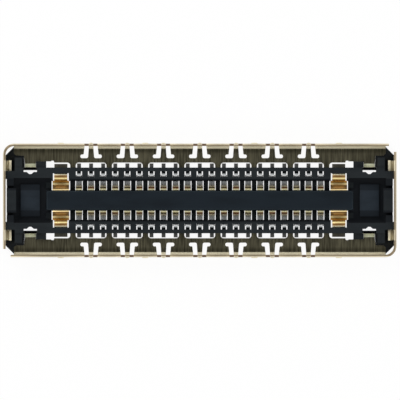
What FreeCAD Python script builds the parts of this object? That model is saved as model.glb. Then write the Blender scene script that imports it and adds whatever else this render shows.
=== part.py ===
"""Shielded fine-pitch board-to-FPC connector, receptacle half.

A black moulded housing carries two rows of formed signal contacts and four wide power
contacts. Two identical stamped shield shells, each a flange with a long wall, a rounded
corner and a short end wall, wrap it with half-turn symmetry. Everything stands on the
board plane at Z = 0 with its solder faces, and the mating side looks up along +Z.
X runs along the rows, Y across them, and the origin is the centre of the board plane.
"""

import FreeCAD, Part
import math
import os

Vector = FreeCAD.Vector
BEYOND = 1.0  # how far a through cut runs past the part, in millimetres
POWER_X = "Sizes.contact_pitch * (Sizes.contacts_per_row - 1) / 2 + Sizes.power_spacing"

DIMENSIONS = [
    ("contact_pitch", 0.35),
    ("contacts_per_row", 21),
    ("power_spacing", 0.525),  # last signal contact to power contact, along X
    # housing, measured across the rows from the centre line
    ("island_half_width", 0.274),
    ("groove_half_width", 0.60),
    ("pocket_half_width", 0.65),
    ("pier_width", 0.08),  # bar between the groove and the contact windows
    ("window_depth", 0.162),
    ("rail_width", 0.11),  # outer bar, over the solder tails
    # housing, measured along the rows from the power contact
    ("island_overrun", 0.41),
    ("pocket_start", 0.29),
    ("pocket_reach", 1.365),
    ("housing_reach", 1.565),
    # housing heights above the board
    ("standoff", 0.02),
    ("groove_floor", 0.15),
    ("rail_height", 0.50),
    ("island_height", 0.50),
    ("lead_in", 0.03),
    ("island_corner_radius", 0.06),
    ("end_block_height", 0.56),
    ("end_block_half_width", 0.35),
    ("end_block_reach", 0.07),  # how far the block stands into the pocket
    ("end_notch_width", 0.08),
    ("end_shoulder_start", 0.62),  # from here out the housing meets the end wall
    ("pocket_panel_height", 0.05),
    ("pocket_panel_margin", 0.20),
    ("pocket_panel_side", 0.185),
    ("rib_width", 0.215),
    ("rib_height", 0.44),
    ("ear_thickness", 0.13),
    ("rib_end_gap", 0.03),
    ("ear_clearance", 0.03),
    ("shell_clearance", 0.06),
    ("lug_length", 0.295),
    ("lug_height", 0.26),
    # housing openings
    ("slot_width", 0.215),
    ("slot_ledge", 0.022),  # floor left beside the island
    ("slot_outer_gap", 0.0375),  # groove floor left outside a slot
    ("window_width", 0.18),
    ("channel_height", 0.13),
    ("power_window_width", 0.46),
    ("power_slot_width", 0.535),
    ("power_window_end", 0.785),
    ("latch_hole_length", 0.39),
    ("latch_hole_width", 0.05),
    ("latch_lip", 0.017),
    ("latch_recess", 0.05),  # room over the barbs
    ("latch_hole_side", 0.005),
    ("latch_notch_depth", 0.06),
    ("latch_notch_length", 0.07),
    ("latch_notch_slope", 0.07),
    # signal contact
    ("strip_thickness", 0.05),
    ("tail_width", 0.115),
    ("spring_width", 0.17),
    ("tip_width", 0.185),
    ("tail_reach", 0.12),  # how far the solder tail shows outside the rail
    ("arch_height", 0.445),
    ("arch_radius", 0.04),
    ("bend_radius", 0.05),
    ("spring_seat", 0.075),
    ("bump_height", 0.33),
    ("bump_reach", 0.111),
    ("tip_height", 0.42),
    ("tip_clearance", 0.031),
    # power contact
    ("power_thickness", 0.06),
    ("power_arch_width", 0.38),
    ("power_spring_width", 0.478),
    ("power_arch_height", 0.46),
    ("power_arch_radius", 0.055),
    ("power_bend_radius", 0.06),
    ("power_seat", 0.09),
    ("power_bump_height", 0.34),
    ("power_bump_reach", 0.156),
    ("power_tip_height", 0.44),
    ("power_tail_reach", 0.106),
    # shield shell
    ("sheet", 0.07),
    ("shell_height", 0.62),
    ("shell_half_width", 1.645),
    ("shell_gap", 0.035),  # housing end face to the end wall
    ("corner_radius", 0.33),
    ("fold_radius", 0.08),
    ("flange_inner", 1.13),
    ("flange_end_step", 0.17),
    ("flange_end_run", 0.29),
    ("flange_corner", 0.06),
    ("wall_overrun", 0.085),  # long wall past the flange's end
    ("end_wall_stop", 0.239),  # long wall's outer face to the end wall's free end
    ("end_wall_bottom", 0.03),
    # shell teeth that grip the housing, and the inspection windows between them
    ("contacts_per_window", 3),
    ("window_top", 1.096),
    ("tooth_width", 0.16),
    ("window_corner", 0.085),
    ("tooth_grip", 0.025),
    ("power_window_step", 0.02),
    # shell spring beams
    ("beam_root", 0.18),
    ("beam_neck", 0.13),
    ("beam_slot", 0.125),
    ("slot_inner", 1.225),
    ("slot_foot", 0.095),
    ("slot_foot_depth", 0.105),
    ("slot_top", 0.40),
    ("rim_notch_depth", 0.09),
    ("rim_bulge", 0.025),
    ("rim_bulge_radius", 0.09),
    ("beam_bump", 0.03),
    ("beam_bump_radius", 0.045),
    ("beam_bump_height", 0.30),
    # shell wall dimples
    ("dimple_inner_place", 1.58),
    ("dimple_rise", 0.025),
    ("dimple_radius", 0.10),
    ("dimple_height", 0.34),
    # shell latch legs and end legs, bent up into the housing
    ("latch_offset", 0.885),  # power contact to latch leg, along X
    ("latch_width", 0.32),
    ("latch_bend", 0.12),
    ("latch_gap", 0.01),
    ("latch_top", 0.30),
    ("barb", 0.035),
    ("barb_bottom", 0.20),
    ("barb_top", 0.27),
    ("end_leg_place", 1.005),
    ("end_leg_width", 0.31),
    ("end_leg_flat", 0.02),
    ("end_leg_radius", 0.04),
    ("end_leg_top", 0.34),
]

doc = FreeCAD.newDocument("BoardConnector")
sheet = doc.addObject("Spreadsheet::Sheet", "Sizes")
for row, (alias, value) in enumerate(DIMENSIONS, start=1):
    sheet.set(f"A{row}", alias)
    sheet.set(f"B{row}", str(value))
    sheet.setAlias(f"B{row}", alias)
doc.recompute()


class Sizes:
    """Reads the driving dimensions from the spreadsheet by their names."""

    def __getattr__(self, alias):
        return float(sheet.get(alias))


dim = Sizes()


class Layout:
    """Places that several pieces share, worked out from the driving dimensions."""

    def __init__(self):
        per_row = int(dim.contacts_per_row)
        per_window = int(dim.contacts_per_window)
        middle = (per_row - 1) / 2
        self.signal_x = [dim.contact_pitch * (n - middle) for n in range(per_row)]
        self.power_x = self.signal_x[-1] + dim.power_spacing
        self.island_end = self.power_x + dim.island_overrun
        self.pocket_end = self.power_x + dim.pocket_reach
        self.housing_end = self.power_x + dim.housing_reach
        self.rib_outer = self.pocket_end - dim.rib_end_gap
        self.latch_x = self.power_x + dim.latch_offset
        # across the rows
        self.window_inner = dim.groove_half_width + dim.pier_width
        self.window_outer = self.window_inner + dim.window_depth
        self.rail_outer = self.window_outer + dim.rail_width
        # shell
        self.end_wall_inner = self.housing_end + dim.shell_gap
        self.end_wall_outer = self.end_wall_inner + dim.sheet
        self.wall_inner = dim.shell_half_width - dim.sheet
        self.flange_outer = self.wall_inner - dim.fold_radius
        self.flange_end = self.pocket_end
        self.flange_notch = dim.flange_inner + dim.flange_end_step
        self.wall_end = self.flange_end + dim.wall_overrun
        self.fold_top = dim.sheet + dim.fold_radius
        self.latch_outer = self.rail_outer + dim.latch_gap
        self.latch_inner = self.latch_outer - dim.sheet
        self.tongue_root = self.latch_outer + dim.latch_bend
        self.latch_throat = dim.latch_width / 2 + dim.latch_hole_side
        self.end_leg_outer = self.end_wall_inner - 2 * dim.end_leg_radius - dim.end_leg_flat
        self.end_leg_inner = self.end_leg_outer - dim.sheet
        # teeth stand between the windows, and a spring beam faces each window's middle
        windows = per_row // per_window
        window_pitch = dim.contact_pitch * per_window
        self.beam_places = [n - (windows - 1) / 2 for n in range(windows)]
        self.beam_x = [window_pitch * place for place in self.beam_places]
        self.tooth_x = [window_pitch * (n - windows / 2) for n in range(windows + 1)]


at = Layout()


def rounded_outline(corners):
    """Closed outline through (x, y, radius) corners, each rounded by its own radius."""
    count = len(corners)
    arcs = []
    for i in range(count):
        here = Vector(corners[i][0], corners[i][1], 0)
        before = Vector(*corners[i - 1][:2], 0) - here
        after = Vector(*corners[(i + 1) % count][:2], 0) - here
        radius = corners[i][2]
        if radius == 0:
            arcs.append((here, None, here))
            continue
        before.normalize()
        after.normalize()
        half = before.getAngle(after) / 2
        reach = radius / math.tan(half)
        middle = (before + after).normalize() * (radius / math.sin(half) - radius)
        arcs.append((here + before * reach, here + middle, here + after * reach))
    edges = []
    for i in range(count):
        start, middle, end = arcs[i]
        if middle is not None:
            edges.append(Part.Arc(start, middle, end))
        next_start = arcs[(i + 1) % count][0]
        if (next_start - end).Length > 1e-6:
            edges.append(Part.LineSegment(end, next_start))
    return edges


def rectangle(x_low, x_high, y_low, y_high, radius=0.0):
    """Closed rectangle with corners of one radius."""
    corners = [(x_low, y_low), (x_high, y_low), (x_high, y_high), (x_low, y_high)]
    return rounded_outline([(x, y, radius) for x, y in corners])


def offset_point(before, here, after, distance):
    """Corner of a line offset to its left by a distance, mitred at the point."""
    normals = []
    for start, end in ((before, here), (here, after)):
        if start is None or end is None:
            continue
        along = Vector(end[0] - start[0], end[1] - start[1], 0).normalize()
        normals.append(Vector(-along.y, along.x, 0))
    mitre = (normals[0] + normals[-1]).normalize()
    shift = distance / mitre.dot(normals[0])
    return here[0] + mitre.x * shift, here[1] + mitre.y * shift


def strip_outline(path, thickness):
    """Side outline of a bent strip whose centre line runs through (x, y, bend radius)."""
    left, right = [], []
    last = len(path) - 1
    for i, here in enumerate(path):
        before = path[i - 1] if i > 0 else None
        after = path[i + 1] if i < last else None
        turn = 0.0
        if before and after:
            turn = (here[0] - before[0]) * (after[1] - here[1])
            turn -= (here[1] - before[1]) * (after[0] - here[0])
        half = math.copysign(thickness / 2, turn)
        for side, points in ((1, left), (-1, right)):
            x, y = offset_point(before, here, after, side * thickness / 2)
            radius = here[2] - side * half if here[2] else 0.0
            points.append((x, y, radius))
    return rounded_outline(left + right[::-1])


def new_body(label):
    """Empty body with a plain name."""
    body = doc.addObject("PartDesign::Body", label)
    body.Label = label
    return body


def sketch_on(body, name, plane, outlines, height=None):
    """Sketch of closed outlines on an origin plane, raised by an expression if given."""
    sketch = body.newObject("Sketcher::SketchObject", name)
    origin = [face for face in body.Origin.OriginFeatures if face.Role == plane][0]
    sketch.AttachmentSupport = [(origin, "")]
    sketch.MapMode = "FlatFace"
    if height:
        sketch.setExpression("AttachmentOffset.Base.z", height)
    for edges in outlines:
        sketch.addGeometry(edges, False)
    return sketch


def pad(body, name, plane, outlines, length, height=None, centred=False):
    """Adds the outlines, extruded by a length expression, to the body."""
    feature = body.newObject("PartDesign::Pad", name)
    feature.Profile = sketch_on(body, f"{name}_sketch", plane, outlines, height)
    feature.setExpression("Length", length)
    if centred:
        feature.SideType = "Symmetric"
    return feature


def pocket(body, name, outlines, length, height):
    """Cuts the outlines upwards through a length, from a height above the board plane."""
    feature = body.newObject("PartDesign::Pocket", name)
    feature.Profile = sketch_on(body, f"{name}_sketch", "XY_Plane", outlines, height)
    feature.setExpression("Length", length)
    feature.Reversed = True
    return feature


def edges_at(feature, height, half_length, half_width):
    """Names of the level edges at a height that lie on the sides of a centred rectangle."""
    found = []
    for number, edge in enumerate(feature.Shape.Edges, start=1):
        box = edge.BoundBox
        level = abs(box.ZMin - height) < 1e-6 and abs(box.ZMax - height) < 1e-6
        inside = box.XMax < half_length + 1e-6 and box.XMin > -half_length - 1e-6
        inside = inside and box.YMax < half_width + 1e-6 and box.YMin > -half_width - 1e-6
        if level and inside:
            found.append(f"Edge{number}")
    return found


def both_ways(outline_for):
    """Outlines made by a function of the side signs along X and Y, one for each corner."""
    return [outline_for(sx, sy) for sx in (-1, 1) for sy in (-1, 1)]


def signed_box(sx, sy, x_near, x_far, y_near, y_far, radius=0.0):
    """Rectangle given by its distances from the centre lines, on the signed side."""
    xs = sorted((sx * x_near, sx * x_far))
    ys = sorted((sy * y_near, sy * y_far))
    return rectangle(*xs, *ys, radius)


def signed_outline(sx, sy, x_middle, corners):
    """Outline given about a place on the first quarter, moved to the signed side."""
    return rounded_outline([(sx * (x_middle + x), sy * y, 0.0) for x, y in corners])


def housing_core(body):
    """Long block with the groove, wider pockets at its ends, and the island in it."""
    pad(
        body,
        "core_block",
        "XY_Plane",
        [rectangle(-at.housing_end, at.housing_end, -at.rail_outer, at.rail_outer)],
        "Sizes.rail_height - Sizes.standoff",
        "Sizes.standoff",
    )
    pocket(
        body,
        "mating_groove",
        [rectangle(-at.pocket_end, at.pocket_end, -dim.groove_half_width, dim.groove_half_width)],
        "Sizes.rail_height",
        "Sizes.groove_floor",
    )
    pocket_start = at.power_x + dim.pocket_start
    pocket(
        body,
        "end_pockets",
        [
            rectangle(
                *sorted((side * pocket_start, side * at.pocket_end)),
                -dim.pocket_half_width,
                dim.pocket_half_width,
            )
            for side in (-1, 1)
        ],
        "Sizes.rail_height",
        "Sizes.groove_floor",
    )
    island = pad(
        body,
        "island",
        "XY_Plane",
        [
            rectangle(
                -at.island_end,
                at.island_end,
                -dim.island_half_width,
                dim.island_half_width,
                dim.island_corner_radius,
            )
        ],
        "Sizes.island_height - Sizes.standoff",
        "Sizes.standoff",
    )
    doc.recompute()
    lead_in = body.newObject("PartDesign::Chamfer", "island_lead_in")
    rim = edges_at(island, dim.island_height, at.island_end, dim.island_half_width)
    lead_in.Base = (island, rim)
    lead_in.setExpression("Size", "Sizes.lead_in")


def housing_ends(body):
    """Thin corner ears, shoulders, ribs, lugs and guide blocks at the two ends."""

    def ear(sx, sy):
        """Corner plate with its outer corner cut off, beside the flange's end."""
        inner_x = at.latch_x + at.latch_throat
        outer_x = at.end_wall_inner
        outer_y = at.wall_inner - dim.ear_clearance
        side = outer_x - at.flange_end
        corners = [
            (inner_x, at.window_outer),
            (outer_x, at.window_outer),
            (outer_x, outer_y - side),
            (outer_x - side, outer_y),
            (at.flange_end, at.flange_notch + dim.flange_corner),
            (at.flange_end - dim.flange_corner, at.flange_notch),
            (at.flange_end - dim.flange_end_run, at.flange_notch),
            (inner_x, at.tongue_root),
        ]
        return rounded_outline([(sx * x, sy * y, 0.0) for x, y in corners])

    pad(
        body,
        "ears",
        "XY_Plane",
        both_ways(ear),
        "Sizes.ear_thickness - Sizes.standoff",
        "Sizes.standoff",
    )
    pad(
        body,
        "end_shoulders",
        "XY_Plane",
        both_ways(
            lambda sx, sy: signed_box(
                sx, sy, at.housing_end, at.end_wall_inner, dim.end_shoulder_start, at.rail_outer
            )
        ),
        "Sizes.rail_height - Sizes.standoff",
        "Sizes.standoff",
    )
    pad(
        body,
        "ribs",
        "XY_Plane",
        both_ways(
            lambda sx, sy: signed_box(
                sx,
                sy,
                at.rib_outer - dim.rib_width,
                at.rib_outer,
                at.rail_outer - dim.rail_width,
                at.flange_notch - dim.shell_clearance,
            )
        ),
        "Sizes.rib_height - Sizes.standoff",
        "Sizes.standoff",
    )
    lug_end = at.latch_x - at.latch_throat
    pad(
        body,
        "lugs",
        "XY_Plane",
        both_ways(
            lambda sx, sy: signed_box(
                sx,
                sy,
                lug_end - dim.lug_length,
                lug_end,
                at.window_outer,
                dim.flange_inner,
            )
        ),
        "Sizes.lug_height - Sizes.standoff",
        "Sizes.standoff",
    )
    block_inner = at.pocket_end - dim.end_block_reach
    pad(
        body,
        "guide_blocks",
        "XY_Plane",
        [
            rectangle(
                *sorted((side * block_inner, side * at.housing_end)),
                -dim.end_block_half_width,
                dim.end_block_half_width,
            )
            for side in (-1, 1)
        ],
        "Sizes.end_block_height - Sizes.standoff",
        "Sizes.standoff",
    )
    panel_inner = at.island_end + dim.pocket_panel_margin
    panel_half = dim.pocket_half_width - dim.pocket_panel_side
    pad(
        body,
        "pocket_panels",
        "XY_Plane",
        [
            rectangle(
                *sorted((side * panel_inner, side * (at.pocket_end - dim.pocket_panel_margin))),
                -panel_half,
                panel_half,
            )
            for side in (-1, 1)
        ],
        "Sizes.groove_floor + Sizes.pocket_panel_height - Sizes.standoff",
        "Sizes.standoff",
    )
    pocket(
        body,
        "guide_block_notches",
        both_ways(
            lambda sx, sy: signed_box(
                sx,
                sy,
                at.pocket_end,
                at.housing_end + BEYOND,
                dim.end_block_half_width,
                dim.end_block_half_width + dim.end_notch_width,
            )
        ),
        "Sizes.rail_height",
        "Sizes.groove_floor",
    )


def housing_openings(body):
    """Contact slots, windows and channels, and the holes for the shell's legs."""
    slot_inner = dim.island_half_width + dim.slot_ledge
    slot_outer = dim.groove_half_width - dim.slot_outer_gap
    slot_half = dim.slot_width / 2
    window_half = dim.window_width / 2
    rows = [(x, side) for x in at.signal_x for side in (-1, 1)]

    def signal_slot(x, side):
        """Opening that a contact's spring arm moves in, beside the island."""
        return signed_box(1, side, x - slot_half, x + slot_half, slot_inner, slot_outer)

    def signal_window(x, side):
        """Opening over the start of a contact's solder tail."""
        return signed_box(
            1, side, x - window_half, x + window_half, at.window_inner, at.window_outer
        )

    def power_opening(side_x, side_y):
        """Slot and window of a power contact in one, stepped where they meet."""
        slot = dim.power_slot_width / 2
        window = dim.power_window_width / 2
        step = dim.groove_half_width - dim.slot_outer_gap
        corners = [
            (-slot, slot_inner),
            (slot, slot_inner),
            (slot, step),
            (window, step),
            (window, dim.power_window_end),
            (-window, dim.power_window_end),
            (-window, step),
            (-slot, step),
        ]
        return signed_outline(side_x, side_y, at.power_x, corners)

    def latch_slit(side_x, side_y):
        """Slit behind a latch leg's lip, with a notch in its middle."""
        half = dim.latch_hole_length / 2
        notch = dim.latch_notch_length / 2
        front = at.latch_inner - dim.latch_lip
        back = front - dim.latch_hole_width
        deep = back - dim.latch_notch_depth
        corners = [
            (-half, back),
            (-notch - dim.latch_notch_slope, back),
            (-notch, deep),
            (notch, deep),
            (notch + dim.latch_notch_slope, back),
            (half, back),
            (half, front),
            (-half, front),
        ]
        return signed_outline(side_x, side_y, at.latch_x, corners)

    def latch_opening(side_x, side_y):
        """Opening over a latch leg, wider over the barbs at its sides."""
        throat = at.latch_throat
        wide = dim.latch_hole_length / 2
        step = at.latch_inner + dim.latch_recess
        corners = [
            (-wide, at.latch_inner),
            (wide, at.latch_inner),
            (wide, step),
            (throat, step),
            (throat, dim.flange_inner),
            (-throat, dim.flange_inner),
            (-throat, step),
            (-wide, step),
        ]
        return signed_outline(side_x, side_y, at.latch_x, corners)

    through = [signal_slot(x, side) for x, side in rows]
    through += [signal_window(x, side) for x, side in rows]
    through += both_ways(power_opening) + both_ways(latch_slit) + both_ways(latch_opening)
    pocket(body, "through_openings", through, "2 * Sizes.rail_height", "0")
    channels = [
        signed_box(1, side, x - slot_half, x + slot_half, slot_outer, at.window_inner)
        for x, side in rows
    ]
    pocket(body, "signal_channels", channels, "Sizes.channel_height", "0")
    leg_half = dim.end_leg_width / 2
    leg_holes = both_ways(
        lambda side_x, side_y: signed_box(
            side_x,
            side_y,
            at.rib_outer,
            at.end_wall_outer,
            dim.end_leg_place - leg_half,
            dim.end_leg_place + leg_half,
        )
    )
    pocket(body, "end_leg_holes", leg_holes, "2 * Sizes.rail_height", "Sizes.sheet")


def make_housing():
    """Moulded housing before the metal pieces take their places in it."""
    body = new_body("housing_blank")
    housing_core(body)
    housing_ends(body)
    housing_openings(body)
    return body


def contact_body(label, path, thickness, plan_cuts, width):
    """Formed contact: a bent strip, narrowed by cuts seen in plan."""
    body = new_body(label)
    pad(body, f"{label}_strip", "YZ_Plane", [strip_outline(path, thickness)], width, None, True)
    pocket(body, f"{label}_narrowing", plan_cuts, "2 * Sizes.rail_height", "-Sizes.rail_height")
    return body


def side_cuts(width, y_near, y_far):
    """Pair of plan cuts that leave a strip of one width between two distances."""
    half = width / 2
    return [signed_box(side, 1, half, half + BEYOND, y_near, y_far) for side in (-1, 1)]


def make_signal_contact():
    """Spring contact: solder tail, arch in the side wall, seat, and bumped spring arm."""
    half = dim.strip_thickness / 2
    inner_limb = at.window_inner + half
    outer_limb = inner_limb + 2 * dim.arch_radius
    arm = dim.island_half_width + dim.tip_clearance + dim.arch_radius
    path = [
        (at.rail_outer + dim.tail_reach, half, 0.0),
        (at.window_outer + half, half, dim.bend_radius),
        (outer_limb, dim.arch_height, dim.arch_radius * 0.99),
        (inner_limb, dim.arch_height, dim.arch_radius * 0.99),
        (inner_limb, dim.spring_seat, dim.bend_radius),
        (arm, dim.spring_seat, dim.bend_radius),
        (arm - dim.tip_clearance / 3, (dim.spring_seat + dim.bump_height) / 2, dim.bend_radius),
        (dim.island_half_width + dim.bump_reach, dim.bump_height, dim.arch_radius),
        (dim.island_half_width + dim.tip_clearance, dim.tip_height, 0.0),
    ]
    tip_end = dim.island_half_width + dim.bump_reach + dim.strip_thickness
    limb_end = at.window_inner + dim.strip_thickness
    cuts = side_cuts(dim.spring_width, tip_end, limb_end)
    cuts += side_cuts(dim.tail_width, limb_end, at.rail_outer + BEYOND)
    return contact_body("signal_contact", path, dim.strip_thickness, cuts, "Sizes.tip_width")


def make_power_contact():
    """Wide contact of the same kind, with a narrower arch."""
    half = dim.power_thickness / 2
    outer_limb = dim.power_window_end - half
    inner_limb = outer_limb - 2 * dim.power_arch_radius
    seat_end = dim.island_half_width + dim.power_bump_reach - half
    path = [
        (at.rail_outer + dim.power_tail_reach, half, 0.0),
        (at.window_outer - half, half, dim.power_bend_radius),
        (outer_limb, dim.power_arch_height, dim.power_arch_radius * 0.99),
        (inner_limb, dim.power_arch_height, dim.power_arch_radius * 0.99),
        (inner_limb - half, dim.power_seat, dim.power_bend_radius),
        (seat_end, dim.power_seat, dim.power_bend_radius),
        (seat_end - half, (dim.power_seat + dim.power_bump_height) / 2, dim.power_bend_radius),
        (
            dim.island_half_width + dim.power_bump_reach,
            dim.power_bump_height,
            dim.power_bend_radius,
        ),
        (dim.island_half_width + dim.tip_clearance + half / 2, dim.power_tip_height, 0.0),
    ]
    arch_start = dim.groove_half_width - dim.slot_outer_gap
    cuts = side_cuts(dim.power_arch_width, arch_start, at.rail_outer + BEYOND)
    width = "Sizes.power_spring_width"
    return contact_body("power_contact", path, dim.power_thickness, cuts, width)


def flange_outline():
    """Plan of the back flange: teeth, windows, latch tongues and stepped ends."""
    half_tongue = dim.latch_width / 2
    run = at.flange_end - dim.flange_end_run
    small = dim.flange_corner / 2
    step = dim.power_window_step
    right = []
    for x in [place for place in at.tooth_x if place > 0]:
        right += [
            (x - dim.tooth_width / 2, dim.window_top, dim.window_corner),
            (x - dim.tooth_width / 2, at.rail_outer - dim.tooth_grip, 0.0),
            (x + dim.tooth_width / 2, at.rail_outer - dim.tooth_grip, 0.0),
            (x + dim.tooth_width / 2, dim.window_top, dim.window_corner),
        ]
    notch_start = at.power_x + dim.power_arch_width / 2
    right += [
        (notch_start, dim.window_top, 0.0),
        (notch_start + step, dim.flange_inner + step, 0.0),
        (notch_start + 4 * step, dim.flange_inner + step, 0.0),
        (notch_start + 5 * step, dim.flange_inner, 0.0),
        (at.latch_x - half_tongue, dim.flange_inner, small),
        (at.latch_x - half_tongue, at.tongue_root, 0.0),
        (at.latch_x + half_tongue, at.tongue_root, 0.0),
        (run, at.flange_notch, 0.0),
        (at.flange_end, at.flange_notch, dim.flange_corner),
        (at.flange_end, at.flange_outer, 0.0),
    ]
    left = [(-x, y, radius) for x, y, radius in reversed(right)]
    return rounded_outline(left + right)


def shell_flange_and_wall(body):
    """Flat flange, the fold along its edge and the wall that turns the corner."""
    top = "Sizes.shell_height - Sizes.sheet - Sizes.fold_radius"
    fold_top = "Sizes.sheet + Sizes.fold_radius"
    pad(body, "flange", "XY_Plane", [flange_outline()], "Sizes.sheet")
    outer = dim.corner_radius
    corners = [
        (at.wall_end, dim.shell_half_width, 0.0),
        (-at.end_wall_outer, dim.shell_half_width, outer),
        (-at.end_wall_outer, dim.end_wall_stop - dim.shell_half_width, 0.0),
        (-at.end_wall_inner, dim.end_wall_stop - dim.shell_half_width, 0.0),
        (-at.end_wall_inner, at.wall_inner, outer - dim.sheet),
        (at.wall_end, at.wall_inner, 0.0),
    ]
    pad(body, "wall", "XY_Plane", [rounded_outline(corners)], top, fold_top)
    fold_centre = at.flange_outer
    fold = [
        Part.LineSegment(Vector(fold_centre, dim.sheet, 0), Vector(fold_centre, 0, 0)),
        quarter_arc(fold_centre, at.fold_top, dim.sheet + dim.fold_radius, -90),
        Part.LineSegment(
            Vector(dim.shell_half_width, at.fold_top, 0), Vector(at.wall_inner, at.fold_top, 0)
        ),
        quarter_arc(fold_centre, at.fold_top, dim.fold_radius, -90),
    ]
    length = f"2 * ({POWER_X} + Sizes.pocket_reach)"
    pad(body, "fold", "YZ_Plane", [fold], length, None, True)
    skirt_half = dim.end_leg_place - dim.end_leg_width / 2
    pad(
        body,
        "end_wall_skirt",
        "XY_Plane",
        [rectangle(-at.end_wall_outer, -at.end_wall_inner, -skirt_half, skirt_half)],
        "Sizes.sheet + Sizes.fold_radius - Sizes.end_wall_bottom",
        "Sizes.end_wall_bottom",
    )


def quarter_arc(x, y, radius, start_degrees):
    """Quarter circle about a point, from its start angle a quarter turn on."""
    points = []
    for angle in (start_degrees, start_degrees + 45, start_degrees + 90):
        radians = math.radians(angle)
        points.append(Vector(x + radius * math.cos(radians), y + radius * math.sin(radians), 0))
    return Part.Arc(*points)


def shell_latch_legs(body):
    """Two inner tongues bent up into the housing, with barbs, and two legs at the end."""
    half = dim.sheet / 2
    bend = dim.latch_bend + half
    path = [
        (at.tongue_root + dim.sheet, half, 0.0),
        (at.latch_outer - half, half, bend),
        (at.latch_outer - half, dim.latch_top, 0.0),
    ]
    for side, name in ((-1, "left"), (1, "right")):
        pad(
            body,
            f"latch_leg_{name}",
            "YZ_Plane",
            [strip_outline(path, dim.sheet)],
            "Sizes.latch_width",
            f"{side} * ({POWER_X} + Sizes.latch_offset)",
            True,
        )
        barb = dim.latch_width / 2 + dim.barb
        pad(
            body,
            f"latch_barbs_{name}",
            "XY_Plane",
            [
                rectangle(
                    side * at.latch_x - barb,
                    side * at.latch_x + barb,
                    at.latch_inner,
                    at.latch_outer,
                )
            ],
            "Sizes.barb_top - Sizes.barb_bottom",
            "Sizes.barb_bottom",
        )
    radius = dim.end_leg_radius + half
    end_path = [
        (-at.end_wall_inner - half, at.fold_top + dim.sheet, 0.0),
        (-at.end_wall_inner - half, half, radius),
        (-at.end_leg_inner - half, half, radius),
        (-at.end_leg_inner - half, dim.end_leg_top, 0.0),
    ]
    for side, name in ((-1, "front"), (1, "back")):
        # the sketch plane's normal points along -Y
        pad(
            body,
            f"end_leg_{name}",
            "XZ_Plane",
            [strip_outline(end_path, dim.sheet)],
            "Sizes.end_leg_width",
            f"-({side} * Sizes.end_leg_place)",
            True,
        )


def beam_slot_outline(x, side):
    """Plan of one slot beside a spring beam: a leaning leg with a rounded foot."""
    neck = dim.beam_neck / 2
    root = dim.beam_root / 2
    outside = dim.shell_half_width + BEYOND
    foot_round = dim.slot_foot_depth / 2 - 0.005
    corners = [
        (x + side * neck, outside, 0.0),
        (x + side * neck, at.wall_inner, 0.0),
        (x + side * root, dim.slot_inner, foot_round),
        (x + side * (root + dim.beam_slot + dim.slot_foot), dim.slot_inner, foot_round),
        (
            x + side * (root + dim.beam_slot + dim.slot_foot),
            dim.slot_inner + dim.slot_foot_depth,
            foot_round,
        ),
        (
            x + side * (root + dim.beam_slot),
            dim.slot_inner + dim.slot_foot_depth,
            foot_round / 2,
        ),
        (x + side * (neck + dim.beam_slot), at.wall_inner, 0.0),
        (x + side * (neck + dim.beam_slot), outside, 0.0),
    ]
    return rounded_outline(corners)


def shell_springs(body):
    """Spring beams between slot pairs, rim notches and bulges, and the wall's dimples."""
    bulge_centre = dim.shell_half_width + dim.rim_bulge - dim.rim_bulge_radius
    half = math.sqrt(dim.rim_bulge_radius**2 - (dim.rim_bulge_radius - dim.rim_bulge) ** 2)
    bulges = []
    for x in at.beam_x:
        start = Vector(x - half, dim.shell_half_width, 0)
        end = Vector(x + half, dim.shell_half_width, 0)
        arc = Part.Arc(start, Vector(x, bulge_centre + dim.rim_bulge_radius, 0), end)
        into_wall = Vector(0, -dim.sheet / 2, 0)
        bulges.append(
            [
                arc,
                Part.LineSegment(end, end + into_wall),
                Part.LineSegment(end + into_wall, start + into_wall),
                Part.LineSegment(start + into_wall, start),
            ]
        )
    pad(
        body,
        "rim_bulges",
        "XY_Plane",
        bulges,
        "Sizes.shell_height - Sizes.slot_top",
        "Sizes.slot_top",
    )
    slots = [beam_slot_outline(x, side) for x in at.beam_x for side in (-1, 1)]
    pocket(body, "beam_slots", slots, "Sizes.slot_top + Sizes.sheet", "-Sizes.sheet")
    neck = dim.beam_neck / 2
    notches = [
        rectangle(
            *sorted((x + side * neck, x + side * (neck + dim.beam_slot))),
            at.wall_inner - dim.sheet,
            dim.shell_half_width + BEYOND,
        )
        for x in at.beam_x
        for side in (-1, 1)
    ]
    pocket(
        body,
        "rim_notches",
        notches,
        "Sizes.shell_height",
        "Sizes.shell_height - Sizes.rim_notch_depth",
    )


def cylinder(name, radius, height, x, y, z, turn):
    """Cylinder primitive sized by expressions, standing at a place and turned."""
    feature = doc.addObject("Part::Cylinder", name)
    feature.setExpression("Radius", radius)
    feature.setExpression("Height", height)
    feature.Placement = FreeCAD.Placement(Vector(x, y, z), turn)
    return feature


def cone(name, base_radius, x, y):
    """Cone primitive that narrows outwards by its own rise, standing on the long wall."""
    feature = doc.addObject("Part::Cone", name)
    feature.setExpression("Radius1", base_radius)
    feature.setExpression("Radius2", f"{base_radius} - Sizes.dimple_rise")
    feature.setExpression("Height", "Sizes.dimple_rise")
    outwards = FreeCAD.Rotation(Vector(1, 0, 0), -90)
    feature.Placement = FreeCAD.Placement(Vector(x, y, dim.dimple_height), outwards)
    return feature


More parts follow.
